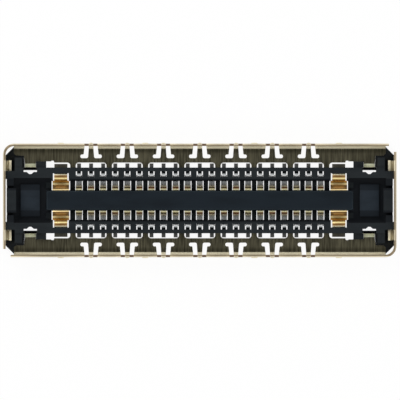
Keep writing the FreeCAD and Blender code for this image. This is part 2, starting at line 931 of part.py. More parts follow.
def press_wall(blank):
    """Adds the beams' contact bumps and the dimples pressed out of the long wall."""
    raised = [blank]
    along = FreeCAD.Rotation(Vector(0, 1, 0), 90)
    depth = at.wall_inner - dim.beam_bump + dim.beam_bump_radius
    for number, x in enumerate(at.beam_x, start=1):
        raised.append(
            cylinder(
                f"beam_bump_{number}",
                "Sizes.beam_bump_radius",
                "Sizes.beam_neck",
                x - dim.beam_neck / 2,
                depth,
                dim.beam_bump_height,
                along,
            )
        )
    hollows = []
    places = (dim.dimple_inner_place, at.power_x)
    for number, x in enumerate([side * place for side in (-1, 1) for place in places], 1):
        outer = "Sizes.dimple_radius"
        inner = "(Sizes.dimple_radius - Sizes.dimple_rise)"
        raised.append(cone(f"dimple_{number}", outer, x, dim.shell_half_width))
        hollows.append(cone(f"dimple_hollow_{number}", inner, x, at.wall_inner))
    joined = doc.addObject("Part::MultiFuse", "shell_raised")
    joined.Shapes = raised
    hollow = doc.addObject("Part::Compound", "shell_hollows")
    hollow.Links = hollows
    pressed = doc.addObject("Part::Cut", "shell_pressed")
    pressed.Base = joined
    pressed.Tool = hollow
    return pressed


def make_shell():
    """Back shield shell; the front one is the same piece turned half round."""
    body = new_body("shell_blank")
    shell_flange_and_wall(body)
    shell_latch_legs(body)
    shell_springs(body)
    return press_wall(body)


def place(label, shape, x=0.0, y=0.0, turned=False):
    """Adds a finished piece to the document under its own name and place."""
    feature = doc.addObject("Part::Feature", label)
    feature.Label = label
    feature.Shape = shape
    half_turn = FreeCAD.Rotation(Vector(0, 0, 1), 180 if turned else 0)
    feature.Placement = FreeCAD.Placement(Vector(x, y, 0), half_turn)
    return feature


def place_contacts(label, master, places):
    """A copy of a contact at each place of both rows, the front row turned half round."""
    pieces = []
    for row, turned in (("back", False), ("front", True)):
        for number, x in enumerate(places, start=1):
            pieces.append(place(f"{label}_{row}_{number:02d}", master.Shape, x, 0.0, turned))
    return pieces


def moulded_around(label, blank, metal):
    """Housing with the seats of the metal pieces cut out of it."""
    seats = doc.addObject("Part::Compound", "metal_seats")
    seats.Links = metal
    cut = doc.addObject("Part::Cut", label)
    cut.Label = label
    cut.Base = blank
    cut.Tool = seats
    doc.recompute()
    return cut


def check_document():
    """Stops when any object of the document has failed."""
    for item in doc.Objects:
        if "Invalid" in item.State or "Error" in item.State:
            raise RuntimeError(f"{item.Label} failed: {item.State}")


def write_parts(pieces):
    """Writes each piece's shape to parts/ under its label."""
    os.makedirs("parts", exist_ok=True)
    for piece in pieces:
        shape = piece.Shape
        if shape.isNull() or not shape.isValid() or len(shape.Solids) != 1:
            raise RuntimeError(f"{piece.Label} isn't one valid solid")
        shape.exportStep(f"parts/{piece.Label}.step")


def main():
    """Builds every piece and writes the step files."""
    housing_blank = make_housing()
    signal = make_signal_contact()
    power = make_power_contact()
    shell = make_shell()
    doc.recompute()
    check_document()
    pieces = place_contacts("signal_contact", signal, at.signal_x)
    pieces += place_contacts("power_contact", power, (-at.power_x, at.power_x))
    pieces.append(place("shield_shell_back", shell.Shape))
    pieces.append(place("shield_shell_front", shell.Shape, turned=True))
    pieces.append(moulded_around("housing", housing_blank, pieces[:]))
    doc.recompute()
    check_document()
    write_parts(pieces)
    for piece in (pieces[0], pieces[-4], pieces[-3], pieces[-1]):
        box = piece.Shape.BoundBox
        print(f"{piece.Label}: volume {piece.Shape.Volume:.4f}, {box}")


main()
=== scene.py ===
"""Studio picture of a shielded board-to-FPC connector, seen from straight above.

The housing and the two shield shells are finished from the frame's own solids: each
solid is welded, its flat faces are joined and its edges are rounded. The contacts are
formed anew as bent strips. Everything stays in the frame's place and in metres.
"""

from __future__ import annotations

import logging
import math
from abc import ABC, abstractmethod
from collections.abc import Callable, Iterator
from contextlib import contextmanager
from dataclasses import dataclass
from enum import Enum

import bmesh
import bpy
from mathutils import Matrix, Vector

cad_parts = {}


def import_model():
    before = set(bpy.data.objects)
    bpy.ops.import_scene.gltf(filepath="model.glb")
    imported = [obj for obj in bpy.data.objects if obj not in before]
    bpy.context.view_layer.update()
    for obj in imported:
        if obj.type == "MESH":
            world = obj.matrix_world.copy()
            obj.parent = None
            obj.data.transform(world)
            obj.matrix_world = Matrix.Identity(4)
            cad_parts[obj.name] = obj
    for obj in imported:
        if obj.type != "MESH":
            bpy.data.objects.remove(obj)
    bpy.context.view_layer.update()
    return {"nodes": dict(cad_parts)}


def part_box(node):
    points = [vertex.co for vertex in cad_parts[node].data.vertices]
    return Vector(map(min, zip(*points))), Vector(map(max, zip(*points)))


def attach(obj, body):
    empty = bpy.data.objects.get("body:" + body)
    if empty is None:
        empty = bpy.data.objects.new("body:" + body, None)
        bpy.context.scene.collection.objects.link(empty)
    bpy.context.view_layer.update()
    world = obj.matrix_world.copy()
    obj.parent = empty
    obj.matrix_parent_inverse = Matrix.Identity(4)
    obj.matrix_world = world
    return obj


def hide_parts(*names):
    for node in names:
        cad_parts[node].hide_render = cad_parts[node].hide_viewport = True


log = logging.getLogger("connector")

Node = bpy.types.Node
Socket = bpy.types.NodeSocket
Piece = bpy.types.Object
Colour = tuple[float, float, float, float]
Pair = tuple[float, float]
Cells = tuple[float, float, float]
Value = Socket | float | Colour

MM = 0.001
EDGE_STEPS = 2
WHITE: Colour = (1.0, 1.0, 1.0, 1.0)


def tint(red: int, green: int, blue: int) -> Colour:
    """Turns a colour as seen on a screen into the linear values that shaders take.

    Args:
        red: Red from 0 to 255.
        green: Green from 0 to 255.
        blue: Blue from 0 to 255.

    Returns:
        The linear colour by the sRGB curve, fully opaque.
    """
    linear = []
    for part in (red, green, blue):
        share = part / 255
        linear.append(share / 12.92 if share <= 0.04045 else ((share + 0.055) / 1.055) ** 2.4)
    return (linear[0], linear[1], linear[2], 1.0)


def scaled(colour: Colour, factor: float) -> Colour:
    """Makes a linear colour brighter or darker, up to full brightness."""
    return tuple(min(1.0, part * factor) for part in colour[:3]) + (1.0,)


class Row(Enum):
    """The two rows of contacts, with each row's turn about the upright axis."""

    BACK = 0.0
    FRONT = math.pi

    @property
    def word(self) -> str:
        """The row's name as the frame's nodes spell it."""
        return self.name.lower()


class Plating(Enum):
    """The record's material slots."""

    HOUSING = "housing_resin"
    SHIELD = "shield_plate"
    SIGNAL = "contact_plate"
    POWER = "power_gold"


class Graph:
    """A node tree with short calls that add nodes and join them."""

    def __init__(self, tree: bpy.types.NodeTree) -> None:
        """Empties the tree.

        Args:
            tree: The node tree of a material or of the world.
        """
        self.tree = tree
        tree.nodes.clear()

    def add(self, kind: str, **settings: object) -> Node:
        """Adds a node and sets its properties.

        Args:
            kind: The node's type name, such as ShaderNodeMix.
            **settings: Properties of the node, by name.

        Returns:
            The new node.
        """
        node = self.tree.nodes.new(kind)
        for name, value in settings.items():
            setattr(node, name, value)
        return node

    def join(self, source: Socket, target: Socket) -> None:
        """Links one node's output to another node's input."""
        self.tree.links.new(source, target)

    def feed(self, target: Socket, value: Value) -> None:
        """Links a socket to an input, or writes a plain value on it."""
        if isinstance(value, Socket):
            self.join(value, target)
        else:
            target.default_value = value

    def place(self) -> Socket:
        """The shaded point's place in the frame."""
        return self.add("ShaderNodeTexCoord").outputs["Object"]

    def facing(self) -> Socket:
        """The direction that the shaded face looks in, before any smoothing."""
        return self.add("ShaderNodeNewGeometry").outputs["True Normal"]

    def split(self, vector: Socket) -> tuple[Socket, Socket, Socket]:
        """Takes a vector apart into the sockets of its three parts."""
        node = self.add("ShaderNodeSeparateXYZ")
        self.join(vector, node.inputs["Vector"])
        return (node.outputs["X"], node.outputs["Y"], node.outputs["Z"])

    def calculate(self, operation: str, first: Value, second: Value = 0.0) -> Socket:
        """Adds a Math node.

        Args:
            operation: The node's operation, such as MULTIPLY.
            first: A socket or a number.
            second: A socket or a number.

        Returns:
            The result's socket.
        """
        node = self.add("ShaderNodeMath", operation=operation)
        self.feed(node.inputs[0], first)
        self.feed(node.inputs[1], second)
        return node.outputs[0]

    def scale(self, value: Socket, factor: float, offset: float) -> Socket:
        """Multiplies a value and adds to it.

        Args:
            value: The value's socket.
            factor: What it is multiplied by.
            offset: What is added then.

        Returns:
            The result's socket.
        """
        result = self.calculate("MULTIPLY_ADD", value, factor)
        result.node.inputs[2].default_value = offset
        return result

    def all_of(self, first: Value, *others: Value) -> Socket:
        """Multiplies shares, so that the result is 1 only where all of them are.

        Args:
            first: A socket or a number.
            *others: Sockets or numbers.

        Returns:
            The product's socket.
        """
        for other in others:
            first = self.calculate("MULTIPLY", first, other)
        return first

    def between(self, value: Socket, low: float, high: float) -> Socket:
        """Rises smoothly from 0 to 1 as a value goes from low to high.

        Args:
            value: The value's socket.
            low: The value that gives 0.
            high: The value that gives 1; it may be under low.

        Returns:
            The share's socket.
        """
        node = self.add("ShaderNodeMapRange", interpolation_type="SMOOTHSTEP")
        self.join(value, node.inputs["Value"])
        node.inputs["From Min"].default_value = low
        node.inputs["From Max"].default_value = high
        return node.outputs["Result"]

    def inside(self, value: Socket, low: float, high: float, soft: float) -> Socket:
        """1 from low to high, fading to 0 on both sides.

        Args:
            value: The value's socket.
            low: Where the range starts.
            high: Where the range ends.
            soft: How far the fading reaches outside the range.

        Returns:
            The share's socket.
        """
        return self.all_of(
            self.between(value, low - soft, low), self.between(value, high + soft, high)
        )

    def blend(self, share: Value, first: Value, second: Value) -> Socket:
        """Mixes two colours.

        Args:
            share: How much of the second colour, a socket or a number.
            first: A socket or a colour.
            second: A socket or a colour.

        Returns:
            The mixed colour's socket.
        """
        node = self.add("ShaderNodeMix", data_type="RGBA")
        self.feed(node.inputs["Factor"], share)
        self.feed(node.inputs[6], first)
        self.feed(node.inputs[7], second)
        return node.outputs[2]

    def noise(self, place: Socket, cells: Cells, detail: float) -> Socket:
        """Adds a noise pattern.

        Args:
            place: The pattern's coordinates.
            cells: Pattern cells per metre along each axis.
            detail: How many finer layers the noise has.

        Returns:
            The noise value's socket.
        """
        mapping = self.add("ShaderNodeMapping")
        mapping.inputs["Scale"].default_value = cells
        self.join(place, mapping.inputs["Vector"])
        node = self.add("ShaderNodeTexNoise")
        node.inputs["Scale"].default_value = 1.0
        node.inputs["Detail"].default_value = detail
        self.join(mapping.outputs["Vector"], node.inputs["Vector"])
        return node.outputs["Fac"]

    def bump(self, height: Socket, depth: float, strength: float) -> Socket:
        """Turns a pattern into relief.

        Args:
            height: The pattern's socket.
            depth: Depth of the relief in metres.
            strength: How strongly it shows.

        Returns:
            The surface direction's socket.
        """
        node = self.add("ShaderNodeBump")
        node.inputs["Distance"].default_value = depth
        node.inputs["Strength"].default_value = strength
        self.join(height, node.inputs["Height"])
        return node.outputs["Normal"]

    def mix_shaders(self, share: Socket, first: Socket, second: Socket) -> Socket:
        """Mixes two shaders by a share of the second."""
        node = self.add("ShaderNodeMixShader")
        self.join(share, node.inputs["Fac"])
        self.join(first, node.inputs[1])
        self.join(second, node.inputs[2])
        return node.outputs["Shader"]


class Finish(ABC):
    """A procedural surface finish."""

    label: str

    @abstractmethod
    def paint(self, graph: Graph, surface: Node) -> None:
        """Adds the finish's nodes and joins them to the surface shader.

        Args:
            graph: The material's nodes.
            surface: The surface shader.
        """

    def material(self) -> bpy.types.Material:
        """Makes the finish's material.

        Returns:
            A material whose Principled shader the finish has painted.
        """
        made = bpy.data.materials.new(self.label)
        made.use_nodes = True
        graph = Graph(made.node_tree)
        output = graph.add("ShaderNodeOutputMaterial")
        surface = graph.add("ShaderNodeBsdfPrincipled")
        graph.join(surface.outputs["BSDF"], output.inputs["Surface"])
        self.paint(graph, surface)
        return made


@dataclass(frozen=True)
class ResinFinish(Finish):
    """Matte blue-black moulded resin, lighter where it stands high, darker on the island, with
    painted shade and painted highlights.

    Attributes:
        label: The material's name.
        shade_and_flow: Painted shade on the groove's floor and on what rises in the groove; also
            the colour of the flow marks.
        raised: Colour of the top faces.
        island: Colour of the island between the rows.
        panel: Colour of the panels in the pockets.
        low_shade: Painted shade on the ears and other low places outside the groove.
        side: Painted shade on the upright faces and the rounded edges.
        edge: Painted highlight on the island's rounded edges.
        between_contacts_light: Painted light on the groove's floor between the contacts.
        floor_height: Height of the groove's floor.
        panel_height: Height of the panels.
        groove: Half of the groove's width at its widest.
        island_size: Half of the island's length and width.
        row_floor: Inner and outer line of the floor between the contacts.
        soft: Distance over which one colour turns into the next.
        side_slope: Upward parts of a face's direction where a side's colour sets in and is full.
        groove_shade: How far painted shade darkens what rises from the groove's floor.
        flow: Cells per metre of the flow marks.
        flow_range: Noise values where a flow mark sets in and is full.
        flow_shade: How far the flow marks darken.
        grain: Cells per metre of the moulded grain.
        relief: Depth of the grain and how strongly it shows.
        roughness: How much the grain adds to the roughness, and the least roughness.
        gloss: Strength of the skin's mirrored light.
    """

    label: str
    shade_and_flow: Colour
    raised: Colour
    island: Colour
    panel: Colour
    low_shade: Colour
    side: Colour
    edge: Colour
    between_contacts_light: Colour
    floor_height: float = 0.15 * MM
    panel_height: float = 0.20 * MM
    groove: float = 0.65 * MM
    island_size: Pair = (4.44 * MM, 0.28 * MM)
    row_floor: Pair = (0.37 * MM, 0.51 * MM)
    soft: float = 0.02 * MM
    side_slope: Pair = (0.98, 0.80)
    groove_shade: float = 0.8
    flow: Cells = (2600.0 / 3, 2600.0, 2600.0)
    flow_range: Pair = (0.35, 0.75)
    flow_shade: float = 0.5
    grain: Cells = (26000.0, 26000.0, 26000.0)
    relief: Pair = (0.0015 * MM, 0.6)
    roughness: Pair = (0.22, 0.42)
    gloss: float = 0.16

    def paint(self, graph: Graph, surface: Node) -> None:
        """Grades the colour by place, with flow marks and a fine grain."""
        place = graph.place()
        flow = graph.noise(place, self.flow, detail=4.0)
        marked = graph.all_of(graph.between(flow, *self.flow_range), self.flow_shade)
        body = graph.blend(marked, self.graded(graph, place), self.shade_and_flow)
        grain = graph.noise(place, self.grain, detail=2.0)
        graph.join(body, surface.inputs["Base Color"])
        graph.join(graph.scale(grain, *self.roughness), surface.inputs["Roughness"])
        graph.join(graph.bump(grain, *self.relief), surface.inputs["Normal"])
        surface.inputs["Specular IOR Level"].default_value = self.gloss

    def graded(self, graph: Graph, place: Socket) -> Socket:
        """Colours each level and side of the moulding, with painted shade and painted
        highlights.

        Args:
            graph: The material's nodes.
            place: The shaded point's place.

        Returns:
            The colour's socket.
        """
        x, y, height = graph.split(place)
        along, across = graph.calculate("ABSOLUTE", x), graph.calculate("ABSOLUTE", y)
        soft, floor = self.soft, self.floor_height
        half_length, half_width = self.island_size
        in_length = graph.between(along, half_length + soft, half_length)
        on_island = graph.all_of(
            graph.between(across, half_width + soft, half_width), in_length
        )
        off_island = graph.between(across, half_width, half_width + soft)
        in_groove = graph.between(across, self.groove + soft, self.groove)
        is_low = graph.between(height, self.panel_height + soft, self.panel_height)
        is_panel = graph.between(height, floor + soft, floor + 2 * soft)
        is_row = graph.all_of(graph.inside(across, *self.row_floor, soft), in_length)
        is_side = graph.between(graph.split(graph.facing())[2], *self.side_slope)
        # Painted shade on what rises from the groove's floor beside the island.
        groove_painted_shade = graph.all_of(
            graph.between(across, self.groove, self.groove - 2 * soft),
            graph.between(height, floor, floor + 4 * soft),
            off_island,
            self.groove_shade,
        )
        # Groove floor: painted shade, with painted light on the floor between the contacts.
        ground = graph.blend(is_row, self.shade_and_flow, self.between_contacts_light)
        ground = graph.blend(is_panel, ground, self.panel)
        # Painted shade on low places outside the groove.
        body = graph.blend(is_low, self.raised, self.low_shade)
        body = graph.blend(graph.all_of(is_low, in_groove), body, ground)
        # Painted shade on upright faces and rounded edges.
        body = graph.blend(is_side, body, self.side)
        # Painted shade in the groove.
        body = graph.blend(groove_painted_shade, body, self.shade_and_flow)
        # The island keeps its own darker colour, with a painted highlight on its rounded edges.
        return graph.blend(on_island, body, graph.blend(is_side, self.island, self.edge))


@dataclass(frozen=True)
class ShieldFinish(Finish):
    """Plated sheet: painted dark where the sheet lies flat, as a painted reflection of the dim
    patch above, and with painted highlights where it was bent.

    Attributes:
        label: The material's name.
        flat: Colour of the flat flange, darkened as a painted reflection of the dim patch above.
        bent: Painted highlight on bends and on the walls' inner faces.
        wall: Colour of the walls' outer faces.
        latch: Painted highlight on the latch legs' bends.
        rim: Painted highlight on the outer half of the walls' sheared top edge.
        rim_inside: Colour of its inner half.
        notch_colour: Darker colour of the level faces in the rim's notches.
        shaded: Painted shade on the latch legs' ends, down in their holes, and on the flange
            beside the fold.
        leg_heights: Heights between which a level face is a latch leg's end.
        latch_line: Distance from the middle line within which sheet is a latch leg's.
        leg_span: Distances from the middle line between which an end leg hangs from the rim.
        rim_height: Height above which a face belongs to the rim.
        notch_height: Height above which a level face belongs to a notch.
        flange_reach: Half of the flange's length; level sheet beyond it was bent.
        rim_line: Distances from the middle, along and across the rows, where the rim's
            outer half begins.
        rim_soft: Distance over which the rim's inner half turns into its outer half.
        rim_end_share: How far the end walls' rim takes the outer half's painted highlight.
        soft: Distance over which one colour turns into the next.
        crisp: The same distance where the change is sharper.
        level_slope: Upward parts of a face's direction where level sets in and is full.
        upright_slope: Upward parts where upright sets in and is full.
        outward: Distances outwards over which a face turns from inner to outer.
        fold_line: Distance of the fold's foot from the middle line.
        fold_band: Distances before the fold's foot where its shade sets in, is full and
            begins to end.
        fold_shade: How far painted shade darkens the flange beside the fold.
        streaks: Cells per metre of the rolling streaks.
        streak_range: Noise values where a streak sets in and is full.
        streak_share: How much the streaks count beside the clouds.
        clouds: Cells per metre of the clouds in the plating.
        wear: Factor and offset that turn streaks and clouds into wear.
        worn_gain: How many times brighter worn sheet is.
        mirror: How far bends and open faces mirror light, and what the flange adds.
        roughness: How much the streaks add to the roughness, and the least roughness.
        relief: Depth of the streaks and how strongly it shows.
    """

    label: str
    flat: Colour
    bent: Colour
    wall: Colour
    latch: Colour
    rim: Colour
    rim_inside: Colour
    notch_colour: Colour
    shaded: Colour
    leg_heights: Pair = (0.24 * MM, 0.40 * MM)
    latch_line: float = 1.12 * MM
    leg_span: Pair = (0.86 * MM, 1.15 * MM)
    rim_height: float = 0.60 * MM
    notch_height: float = 0.45 * MM
    flange_reach: float = 5.39 * MM
    rim_line: Pair = (5.66 * MM, 1.604 * MM)
    rim_soft: float = 0.012 * MM
    rim_end_share: float = 0.8
    soft: float = 0.02 * MM
    crisp: float = 0.01 * MM
    level_slope: Pair = (0.98, 0.999)
    upright_slope: Pair = (0.25, 0.05)
    outward: Pair = (0.2 * MM, 0.6 * MM)
    fold_line: float = 1.48 * MM
    fold_band: tuple[float, float, float] = (0.15 * MM, 0.025 * MM, 0.02 * MM)
    fold_shade: float = 0.42
    streaks: Cells = (24000.0, 1500.0, 1500.0)
    streak_range: Pair = (0.3, 0.7)
    streak_share: float = 0.7
    clouds: Cells = (1400.0, 1400.0, 1400.0)
    wear: Pair = (0.78, -0.25)
    worn_gain: float = 3.4
    mirror: tuple[float, float, float] = (0.02, 0.6, 0.4)
    roughness: Pair = (0.22, 0.24)
    relief: Pair = (0.0012 * MM, 0.5)

    def paint(self, graph: Graph, surface: Node) -> None:
        """Colours the sheet by place and by how it faces, with painted highlights and shade, and
        rolling streaks.
        """
        place = graph.place()
        x, y, height = graph.split(place)
        along, across = graph.calculate("ABSOLUTE", x), graph.calculate("ABSOLUTE", y)
        streak = graph.noise(place, self.streaks, detail=3.0)
        facing = graph.facing()
        rise = graph.split(facing)[2]
        level = graph.between(rise, *self.level_slope)
        outside = graph.all_of(self.turned_out(graph, facing, place), self.upright(graph, rise))
        on_flange = graph.between(along, self.flange_reach + self.soft, self.flange_reach)
        is_low = graph.between(height, self.notch_height, self.notch_height - self.soft)
        is_notch = graph.between(height, self.notch_height, self.notch_height + self.soft)
        is_rim = graph.between(height, self.rim_height - self.crisp, self.rim_height)
        is_flat = graph.all_of(level, is_low, on_flange)
        on_latch = graph.all_of(
            graph.between(across, self.latch_line + self.crisp, self.latch_line), on_flange
        )
        is_leg_end = graph.all_of(
            graph.inside(height, *self.leg_heights, self.soft), level, on_latch
        )
        # Painted highlight on bends and inner faces; the walls' outer faces keep their own
        # colour.
        body = graph.blend(outside, self.bent, self.wall)
        # Painted highlight on the latch legs' bends.
        body = graph.blend(on_latch, body, self.latch)
        # Flat flange: painted dark reflection, with rolling streaks and wear.
        body = graph.blend(is_flat, body, self.rolled(graph, place, across, streak))
        # Painted shade on the latch legs' ends down in their holes.
        body = graph.blend(is_leg_end, body, self.shaded)
        body = graph.blend(graph.all_of(is_notch, level), body, self.notch_colour)
        # Painted highlight on the outer half of the rim's top edge.
        edge = self.sheared_rim(graph, along, across)
        body = graph.blend(graph.all_of(is_rim, level), body, edge)
        by_bend, by_open_face, by_flange = self.mirror
        mirror = graph.all_of(graph.calculate("MAXIMUM", level, outside), by_open_face)
        mirror = graph.calculate("MAXIMUM", mirror, by_bend)
        mirror = graph.calculate("ADD", graph.all_of(is_flat, by_flange), mirror)
        graph.join(body, surface.inputs["Base Color"])
        graph.join(mirror, surface.inputs["Metallic"])
        graph.join(graph.scale(streak, *self.roughness), surface.inputs["Roughness"])
        graph.join(graph.bump(streak, *self.relief), surface.inputs["Normal"])

    def rolled(self, graph: Graph, place: Socket, across: Socket, streak: Socket) -> Socket:
        """Colours the flat sheet: streaks and clouds of wear, with painted shade beside the
        fold.

        Args:
            graph: The material's nodes.
            place: The shaded point's place.
            across: Its distance from the middle line.
            streak: The rolling streaks' noise.

        Returns:
            The colour's socket.
        """
        cloud = graph.noise(place, self.clouds, detail=2.0)
        streaked = graph.all_of(graph.between(streak, *self.streak_range), self.streak_share)
        wear = graph.scale(graph.calculate("ADD", streaked, cloud), *self.wear)
        sheet = graph.blend(wear, self.flat, scaled(self.flat, self.worn_gain))
        start, full, end = (self.fold_line - distance for distance in self.fold_band)
        # Painted shade on the flange beside the fold.
        fold_painted_shade = graph.all_of(
            graph.between(across, start, full),
            graph.between(across, self.fold_line, end),
            self.fold_shade,
        )
        return graph.blend(fold_painted_shade, sheet, self.shaded)

    def sheared_rim(self, graph: Graph, along: Socket, across: Socket) -> Socket:
        """Colours the walls' sheared top edge, with a painted highlight outside and over the end
        legs.

        Args:
            graph: The material's nodes.
            along: Distance from the middle along the rows.
            across: Distance from the middle line.

        Returns:
            The colour's socket.
        """
        end_line, side_line = self.rim_line
        at_end = graph.all_of(
            graph.between(along, end_line, end_line + self.rim_soft), self.rim_end_share
        )
        at_side = graph.between(across, side_line, side_line + self.rim_soft)
        over_leg = graph.all_of(
            graph.inside(across, *self.leg_span, self.soft),
            graph.between(along, end_line, end_line - self.crisp),
        )
        outer = graph.calculate("MAXIMUM", at_end, at_side)
        outer = graph.calculate("MAXIMUM", outer, over_leg)
        return graph.blend(outer, self.rim_inside, self.rim)

    def upright(self, graph: Graph, rise: Socket) -> Socket:
        """1 on faces that stand upright, 0 on those that lie level."""
        return graph.between(graph.calculate("ABSOLUTE", rise), *self.upright_slope)

    def turned_out(self, graph: Graph, facing: Socket, place: Socket) -> Socket:
        """1 on faces that look away from the connector's middle.

        Args:
            graph: The material's nodes.
            facing: The direction that the face looks in.
            place: The shaded point's place.

        Returns:
            The share's socket.
        """
        product = graph.add("ShaderNodeVectorMath", operation="DOT_PRODUCT")
        graph.join(facing, product.inputs[0])
        graph.join(place, product.inputs[1])
        return graph.between(product.outputs["Value"], *self.outward)


@dataclass(frozen=True)
class SheenFinish(Finish):
    """Plain bright metal with a little grain, for sheared and coined edges; its brightness there
    is partly cut metal and partly a painted highlight.

    Attributes:
        label: The material's name.
        colour: Colour of the metal.
        metallic: How far the metal mirrors rather than scatters light.
        roughness: Roughness of the metal.
        grain: Cells per metre of the grain.
        dulling: Brightness of the grain's dark side beside its light side.
    """

    label: str
    colour: Colour
    metallic: float = 0.4
    roughness: float = 0.34
    grain: Cells = (9000.0, 9000.0, 9000.0)
    dulling: float = 0.6

    def paint(self, graph: Graph, surface: Node) -> None:
        """Varies one colour with a fine noise."""
        grain = graph.noise(graph.place(), self.grain, detail=2.0)
        body = graph.blend(grain, self.colour, scaled(self.colour, self.dulling))
        graph.join(body, surface.inputs["Base Color"])
        surface.inputs["Metallic"].default_value = self.metallic
        surface.inputs["Roughness"].default_value = self.roughness


@dataclass(frozen=True)
class BandedFinish(Finish):
    """Contact plating whose colour changes along the contact, from tip to tail: its own plating
    colours together with painted highlights and shade on its bends.

    Attributes:
        label: The material's name.
        bands: Millimetres from the connector's middle line, and the colour there as seen on
        a screen, in order; they paint highlights and shade of the bends as well as the plating.
        metallic: How far the plating mirrors rather than scatters light.
        roughness: How much the mottle adds to the roughness, and the least roughness.
        mottle: Cells per metre of the mottle.
        mottle_shift: How far the mottle moves the bands.
        tinge: How far the dark band behind the tips turns redder on some contacts.
        warm: That redder colour.
        warm_band: Where that band starts and ends, from the middle line.
        warm_soft: Distance over which the redder colour sets in.
        warm_cells: Cells per metre of the noise that picks the contacts.
        warm_range: Noise values where a contact is picked slightly and fully.
    """

    label: str
    bands: tuple[tuple[float, int, int, int], ...]
    metallic: float
    roughness: Pair = (0.16, 0.22)
    mottle: Cells = (16000.0, 9000.0, 9000.0)
    mottle_shift: float = 0.012 * MM
    tinge: float = 0.0
    warm: Colour = tint(138, 58, 20)
    warm_band: Pair = (0.34 * MM, 0.385 * MM)
    warm_soft: float = 0.015 * MM
    warm_cells: Cells = (1500.0, 700.0, 0.0)
    warm_range: Pair = (0.42, 0.62)

    def paint(self, graph: Graph, surface: Node) -> None:
        """Colours the contact by its bands, some of them redder."""
        place = graph.place()
        distance = graph.calculate("ABSOLUTE", graph.split(place)[1])
        mottle = graph.noise(place, self.mottle, detail=2.0)
        by_contact = graph.noise(place, self.warm_cells, detail=0.0)
        turned = graph.all_of(
            graph.between(by_contact, *self.warm_range),
            graph.inside(distance, *self.warm_band, self.warm_soft),
            self.tinge,
        )
        body = graph.blend(turned, self.banded(graph, distance, mottle), self.warm)
        graph.join(body, surface.inputs["Base Color"])
        graph.join(graph.scale(mottle, *self.roughness), surface.inputs["Roughness"])
        surface.inputs["Metallic"].default_value = self.metallic

    def banded(self, graph: Graph, distance: Socket, mottle: Socket) -> Socket:
        """Reads the colour from a ramp over the distance to the middle line.

        Args:
            graph: The material's nodes.
            distance: The shaded point's distance from the middle line.
            mottle: The noise that moves the bands.

        Returns:
            The colour's socket.
        """
        centred = graph.calculate("SUBTRACT", mottle, 0.5)
        shift = graph.calculate("MULTIPLY", centred, self.mottle_shift)
        moved = graph.calculate("ADD", distance, shift)
        first, last = self.bands[0][0] * MM, self.bands[-1][0] * MM
        beyond_first = graph.calculate("SUBTRACT", moved, first)
        share = graph.calculate("DIVIDE", beyond_first, last - first)
        ramp = graph.add("ShaderNodeValToRGB")
        stops = ramp.color_ramp.elements
        while len(stops) < len(self.bands):
            stops.new(1.0)
        for stop, (reach, *screen) in zip(stops, self.bands):
            stop.position = (reach * MM - first) / (last - first)
            stop.color = tint(*screen)
        graph.join(share, ramp.inputs["Fac"])
        return ramp.outputs["Color"]


HOUSING_FINISH = ResinFinish(
    "moulded_resin",
    shade_and_flow=tint(2, 8, 16),
    raised=tint(33, 38, 41),
    island=tint(20, 30, 38),
    panel=tint(40, 49, 58),
    low_shade=tint(24, 28, 32),
    side=tint(16, 21, 27),
    edge=tint(38, 48, 55),
    between_contacts_light=tint(28, 35, 38),
)
SHIELD_FINISH = ShieldFinish(
    "shield_plating",
    flat=tint(82, 79, 64),
    bent=tint(255, 245, 214),
    wall=tint(216, 205, 174),
    latch=tint(238, 242, 212),
    rim=tint(244, 232, 202),
    rim_inside=tint(158, 140, 112),
    notch_colour=tint(138, 114, 92),
    shaded=tint(16, 15, 14),
)
# The shells' rounded edges: bare cut metal, lighter still as a painted highlight.
SHEARED_FINISH = SheenFinish("shlow_shadeed_edge", tint(250, 240, 214))
# Signal contacts: gold tip and grey body, with painted highlights and shade along the arch, seat
# and tip.
SIGNAL_FINISH = BandedFinish(
    "signal_plating",
    (
        (0.285, 122, 100, 60),
        (0.305, 255, 253, 216),
        (0.33, 255, 242, 186),
        (0.355, 66, 52, 20),
        (0.375, 34, 22, 6),
        (0.405, 236, 220, 178),
        (0.45, 168, 167, 158),
        (0.52, 202, 205, 205),
        (0.60, 98, 104, 106),
        (0.68, 255, 255, 255),
        (0.755, 200, 204, 204),
        (0.785, 44, 48, 50),
        (1.08, 84, 84, 82),
    ),
    metallic=0.2,
    tinge=0.4,
)
# Power contacts: gold plating, with painted highlights and shade along the arch, seat and tip.
POWER_FINISH = BandedFinish(
    "power_plating",
    (
        (0.29, 255, 232, 184),
        (0.32, 255, 226, 160),
        (0.345, 126, 80, 30),
        (0.375, 166, 130, 78),
        (0.405, 132, 96, 50),
        (0.435, 172, 132, 72),
        (0.46, 250, 220, 156),
        (0.49, 255, 240, 176),
        (0.52, 160, 108, 20),
        (0.57, 216, 156, 66),
        (0.60, 255, 232, 160),
        (0.645, 255, 236, 170),
        (0.665, 160, 120, 68),
        (0.725, 144, 108, 58),
        (0.752, 255, 248, 214),
        (0.785, 255, 240, 196),
        (0.82, 62, 60, 50),
        (1.06, 66, 64, 55),
    ),
    metallic=0.62,
)


def add_object(name: str, data: bpy.types.ID) -> Piece:
    """Puts a mesh, a lamp or a camera into the scene under a name."""
    made = bpy.data.objects.new(name, data)
    bpy.context.scene.collection.objects.link(made)
    return made


@contextmanager
def editing(piece: Piece) -> Iterator[None]:
    """Opens one piece in edit mode with nothing selected, and closes it afterwards.

    Args:
        piece: The piece to edit.
    """
    only(piece)
    bpy.ops.object.mode_set(mode="EDIT")
    bpy.ops.mesh.select_mode(type="VERT")
    bpy.ops.mesh.select_all(action="DESELECT")
    yield
    bpy.ops.object.mode_set(mode="OBJECT")


def only(piece: Piece) -> None:
    """Makes a piece the one selected and active object."""
    bpy.ops.object.select_all(action="DESELECT")
    piece.select_set(True)
    bpy.context.view_layer.objects.active = piece


